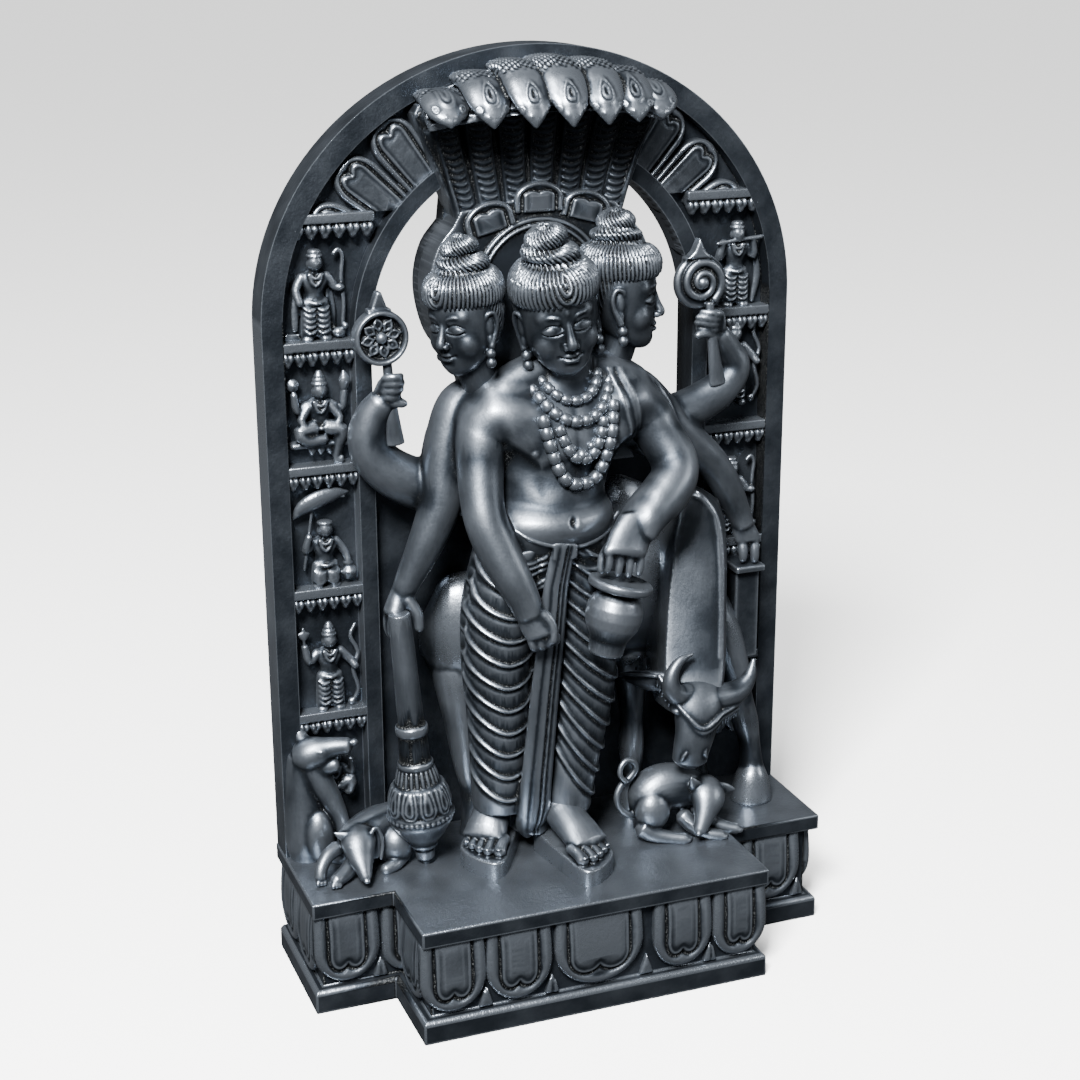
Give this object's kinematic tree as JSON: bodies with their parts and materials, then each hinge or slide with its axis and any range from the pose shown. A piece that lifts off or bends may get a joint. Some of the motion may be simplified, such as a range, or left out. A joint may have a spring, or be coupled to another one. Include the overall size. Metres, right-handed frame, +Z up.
{
  "type": "stone dattatreya statue",
  "caption": "Arched stone relief of a many-headed standing deity under a serpent canopy, with cow and dogs, on a stepped lotus plinth.",
  "frame": {"origin": "centre of the object's box at the height of the underside", "axes": "+Z up through the standing figure; -Y is the carved front; +X is to the viewer's right when facing the front"},
  "size_m": [0.37, 0.16, 0.614],
  "materials": {
    "stone": "satin"
  },
  "bodies": {
    "root": {"statue": "stone"}
  },
  "joints": []
}
